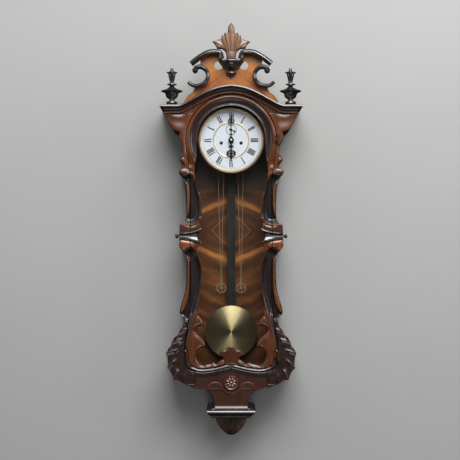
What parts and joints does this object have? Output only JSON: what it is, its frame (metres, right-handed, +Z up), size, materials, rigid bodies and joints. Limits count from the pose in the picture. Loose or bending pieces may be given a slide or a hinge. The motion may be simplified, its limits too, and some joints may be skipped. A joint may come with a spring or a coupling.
{
  "type": "wall regulator clock",
  "caption": "Weight-driven wall regulator clock: serpentine walnut case, carved crest, glazed door, enamel dial, brass movement and wooden pendulum.",
  "frame": {"origin": "centre of the wall hook's hole in the hanger plate, on the wall plane at the back of the head", "axes": "+Z up the clock, -Y out of the dial towards the viewer, +X to the right seen from the front"},
  "size_m": [0.456, 0.184, 1.339],
  "materials": {
    "walnut": "French-polished walnut, high gloss",
    "dark_walnut": "dark stained walnut, gloss",
    "orange_walnut": "light walnut veneer, satin gloss",
    "carved_walnut": "carved walnut, satin",
    "ebonised_wood": "ebonised pearwood, gloss",
    "iron": "blacked",
    "brass": "lacquered, grained",
    "bob_brass": "radially brushed, lacquered",
    "enamel": "fired white enamel",
    "steel": "polished",
    "blacked_steel": "blacked, gloss",
    "gut": "twisted gut, waxed",
    "glass": "clear sheet glass"
  },
  "bodies": {
    "case": {"backboard": "walnut", "head_top": "walnut", "head_cheeks": "walnut", "upper_sides": "walnut", "waist_blocks": "walnut", "waist_turnings": "ebonised_wood", "lower_sides": "walnut", "skirts": "dark_walnut", "apron": "walnut", "rosette": "carved_walnut", "base_shelf": "ebonised_wood", "drop_bud": "dark_walnut", "cornice_fillet": "orange_walnut", "cornice_hollow": "ebonised_wood", "crest_board": "orange_walnut", "crest_mouldings": "ebonised_wood", "crest_bracket": "ebonised_wood", "crest_leaf": "carved_walnut", "finials": "ebonised_wood", "hanger_plate": "iron", "case_hinges": "brass", "movement_bracket": "iron", "back_plate": "brass", "front_plate": "brass", "dial_plate": "brass", "dial_enamel": "enamel", "dial_rings": "brass", "gong": "steel", "time_line": "gut", "strike_line": "gut"},
    "door": {"door_frame": "walnut", "door_glass": "glass", "door_moulding": "walnut", "door_tracery": "walnut", "door_turnings": "ebonised_wood", "door_hinges": "brass"},
    "pendulum": {"suspension_spring": "steel", "pendulum_rod": "ebonised_wood", "pendulum_bob": "bob_brass"},
    "rating_nut": {"rating_nut": "brass"},
    "anchor": {"anchor_and_crutch": "steel"},
    "minute_work": {"centre_wheel": "brass", "minute_hand": "blacked_steel"},
    "third_arbor": {"third_wheel": "brass"},
    "escape_arbor": {"escape_wheel": "brass", "seconds_hand": "blacked_steel"},
    "time_great": {"time_great_wheel": "brass"},
    "time_drum": {"time_drum": "brass"},
    "motion_wheel": {"minute_wheel": "brass"},
    "hour_work": {"hour_wheel": "brass", "hour_hand": "blacked_steel"},
    "strike_great": {"strike_great_wheel": "brass"},
    "strike_drum": {"strike_drum": "brass"},
    "pin_arbor": {"pin_wheel": "brass"},
    "fly_arbor": {"fly": "brass"},
    "hammer": {"hammer": "steel"},
    "time_pulley": {"time_pulley_frame": "brass"},
    "time_pulley_wheel": {"time_pulley_wheel": "brass"},
    "strike_pulley": {"strike_pulley_frame": "brass"},
    "strike_pulley_wheel": {"strike_pulley_wheel": "brass"}
  },
  "joints": [
    {"name": "door_swing", "type": "hinge", "parent": "case", "child": "door", "pos_m": [0.15, -0.162, -0.142], "axis": [0, 0, 1], "range_deg": [0, 110]},
    {"name": "pendulum_swing", "type": "hinge", "parent": "case", "child": "pendulum", "pos_m": [0, -0.038, -0.084], "axis": [0, 1, 0], "range_deg": [-2.5, 2.5]},
    {"name": "rating_nut_turn", "type": "hinge", "parent": "pendulum", "child": "rating_nut", "pos_m": [0, -0.038, -0.858], "axis": [0, 0, 1], "continuous": true},
    {"name": "anchor_rock", "type": "hinge", "parent": "case", "child": "anchor", "pos_m": [0, -0.08, -0.084], "axis": [0, 1, 0], "range_deg": [-2.5, 2.5]},
    {"name": "minute_hand_turn", "type": "hinge", "parent": "case", "child": "minute_work", "pos_m": [0, -0.08, -0.142], "axis": [0, 1, 0], "continuous": true},
    {"name": "third_arbor_turn", "type": "hinge", "parent": "case", "child": "third_arbor", "pos_m": [0.0165, -0.08, -0.12139], "axis": [0, 1, 0], "continuous": true},
    {"name": "escape_arbor_turn", "type": "hinge", "parent": "case", "child": "escape_arbor", "pos_m": [0, -0.08, -0.108], "axis": [0, 1, 0], "continuous": true},
    {"name": "time_great_turn", "type": "hinge", "parent": "case", "child": "time_great", "pos_m": [0.03199, -0.08, -0.151], "axis": [0, 1, 0], "continuous": true},
    {"name": "motion_wheel_turn", "type": "hinge", "parent": "case", "child": "motion_wheel", "pos_m": [0.00978, -0.11, -0.15177], "axis": [0, 1, 0], "continuous": true},
    {"name": "hour_hand_turn", "type": "hinge", "parent": "case", "child": "hour_work", "pos_m": [0, -0.118, -0.142], "axis": [0, 1, 0], "continuous": true},
    {"name": "time_winding", "type": "hinge", "parent": "case", "child": "time_drum", "pos_m": [0.03199, -0.08, -0.151], "axis": [0, 1, 0], "range_deg": [0, 2673.8]},
    {"name": "time_pulley_travel", "type": "slide", "parent": "case", "child": "time_pulley", "axis": [0, 0, 1], "range_m": [0, 0.2805], "deforming": ["time_line"]},
    {"name": "time_pulley_turn", "type": "hinge", "parent": "time_pulley", "child": "time_pulley_wheel", "pos_m": [0.03199, -0.081, -0.621], "axis": [0, 1, 0], "continuous": true},
    {"name": "strike_train_turn", "type": "hinge", "parent": "case", "child": "pin_arbor", "pos_m": [-0.03401, -0.08, -0.11783], "axis": [0, 1, 0], "continuous": true},
    {"name": "strike_great_turn", "type": "hinge", "parent": "case", "child": "strike_great", "pos_m": [-0.03199, -0.08, -0.151], "axis": [0, 1, 0], "continuous": true},
    {"name": "fly_turn", "type": "hinge", "parent": "case", "child": "fly_arbor", "pos_m": [-0.02246, -0.08, -0.09783], "axis": [0, 1, 0], "continuous": true},
    {"name": "strike_winding", "type": "hinge", "parent": "case", "child": "strike_drum", "pos_m": [-0.03199, -0.08, -0.151], "axis": [0, 1, 0], "range_deg": [0, 2673.8]},
    {"name": "strike_pulley_travel", "type": "slide", "parent": "case", "child": "strike_pulley", "axis": [0, 0, 1], "range_m": [0, 0.2805], "deforming": ["strike_line"]},
    {"name": "strike_pulley_turn", "type": "hinge", "parent": "strike_pulley", "child": "strike_pulley_wheel", "pos_m": [-0.03199, -0.081, -0.621], "axis": [0, 1, 0], "continuous": true},
    {"name": "hammer_lift", "type": "hinge", "parent": "case", "child": "hammer", "pos_m": [-0.053, -0.04, -0.137], "axis": [0, 1, 0], "range_deg": [-1, 12]}
  ],
  "couplings": [
    {"joint": "anchor_rock", "follows": "pendulum_swing", "ratio": 1},
    {"joint": "third_arbor_turn", "follows": "minute_hand_turn", "ratio": -10},
    {"joint": "escape_arbor_turn", "follows": "minute_hand_turn", "ratio": 75},
    {"joint": "time_great_turn", "follows": "minute_hand_turn", "ratio": -0.083333},
    {"joint": "motion_wheel_turn", "follows": "minute_hand_turn", "ratio": -0.33333},
    {"joint": "hour_hand_turn", "follows": "minute_hand_turn", "ratio": 0.083333},
    {"joint": "time_pulley_travel", "follows": "time_winding", "m_per_rad": 0.006},
    {"joint": "strike_great_turn", "follows": "strike_train_turn", "ratio": -0.083333},
    {"joint": "fly_turn", "follows": "strike_train_turn", "ratio": -6},
    {"joint": "strike_pulley_travel", "follows": "strike_winding", "m_per_rad": 0.006}
  ]
}
